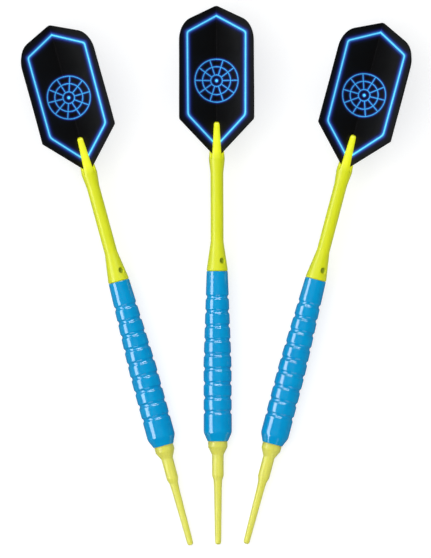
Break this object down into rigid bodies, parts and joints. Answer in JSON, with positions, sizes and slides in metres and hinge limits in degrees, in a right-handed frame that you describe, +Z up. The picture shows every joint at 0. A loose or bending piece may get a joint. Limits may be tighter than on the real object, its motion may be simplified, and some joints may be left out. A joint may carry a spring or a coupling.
{
  "type": "soft-tip dart set",
  "caption": "Set of soft-tip darts lying in a fan: ringed blue brass barrels, yellow nylon shafts and tips, slim black flights with a neon border.",
  "frame": {"origin": "middle of the base of the set as it lies, on the surface", "axes": "+Y from the points towards the flights, +Z up from the surface"},
  "size_m": [0.1154, 0.1582, 0.0237],
  "materials": {
    "tip_nylon": "slightly translucent yellow moulded nylon",
    "barrel_blue": "glossy blue coating over turned brass",
    "shaft_nylon": "fluorescent yellow moulded nylon",
    "flight_film": "printed black polyester film"
  },
  "bodies": {
    "left_barrel": {"left_barrel": "barrel_blue"},
    "left_tip": {"left_soft_tip": "tip_nylon"},
    "left_shaft": {"left_shaft": "shaft_nylon"},
    "left_flight": {"left_flight_leaf_up": "flight_film", "left_flight_leaf_right": "flight_film", "left_flight_leaf_down": "flight_film", "left_flight_leaf_left": "flight_film"},
    "middle_barrel": {"middle_barrel": "barrel_blue"},
    "middle_tip": {"middle_soft_tip": "tip_nylon"},
    "middle_shaft": {"middle_shaft": "shaft_nylon"},
    "middle_flight": {"middle_flight_leaf_up": "flight_film", "middle_flight_leaf_right": "flight_film", "middle_flight_leaf_down": "flight_film", "middle_flight_leaf_left": "flight_film"},
    "right_barrel": {"right_barrel": "barrel_blue"},
    "right_tip": {"right_soft_tip": "tip_nylon"},
    "right_shaft": {"right_shaft": "shaft_nylon"},
    "right_flight": {"right_flight_leaf_up": "flight_film", "right_flight_leaf_right": "flight_film", "right_flight_leaf_down": "flight_film", "right_flight_leaf_left": "flight_film"}
  },
  "joints": [
    {"name": "left_dart_lift", "type": "slide", "parent": "middle_barrel", "child": "left_barrel", "axis": [0, 0, 1], "range_m": [0, 0.06]},
    {"name": "left_tip_out", "type": "slide", "parent": "left_barrel", "child": "left_tip", "axis": [0.2631, -0.9619, -0.0747], "range_m": [0, 0.01]},
    {"name": "left_shaft_out", "type": "slide", "parent": "left_barrel", "child": "left_shaft", "axis": [-0.2631, 0.9619, 0.0747], "range_m": [0, 0.012]},
    {"name": "left_flight_out", "type": "slide", "parent": "left_shaft", "child": "left_flight", "axis": [-0.2631, 0.9619, 0.0747], "range_m": [0, 0.014]},
    {"name": "middle_tip_out", "type": "slide", "parent": "middle_barrel", "child": "middle_tip", "axis": [0.0035, -0.9972, -0.0747], "range_m": [0, 0.01]},
    {"name": "middle_shaft_out", "type": "slide", "parent": "middle_barrel", "child": "middle_shaft", "axis": [-0.0035, 0.9972, 0.0747], "range_m": [0, 0.012]},
    {"name": "middle_flight_out", "type": "slide", "parent": "middle_shaft", "child": "middle_flight", "axis": [-0.0035, 0.9972, 0.0747], "range_m": [0, 0.014]},
    {"name": "right_dart_lift", "type": "slide", "parent": "middle_barrel", "child": "right_barrel", "axis": [0, 0, 1], "range_m": [0, 0.06]},
    {"name": "right_tip_out", "type": "slide", "parent": "right_barrel", "child": "right_tip", "axis": [-0.2547, -0.9641, -0.0747], "range_m": [0, 0.01]},
    {"name": "right_shaft_out", "type": "slide", "parent": "right_barrel", "child": "right_shaft", "axis": [0.2547, 0.9641, 0.0747], "range_m": [0, 0.012]},
    {"name": "right_flight_out", "type": "slide", "parent": "right_shaft", "child": "right_flight", "axis": [0.2547, 0.9641, 0.0747], "range_m": [0, 0.014]}
  ]
}
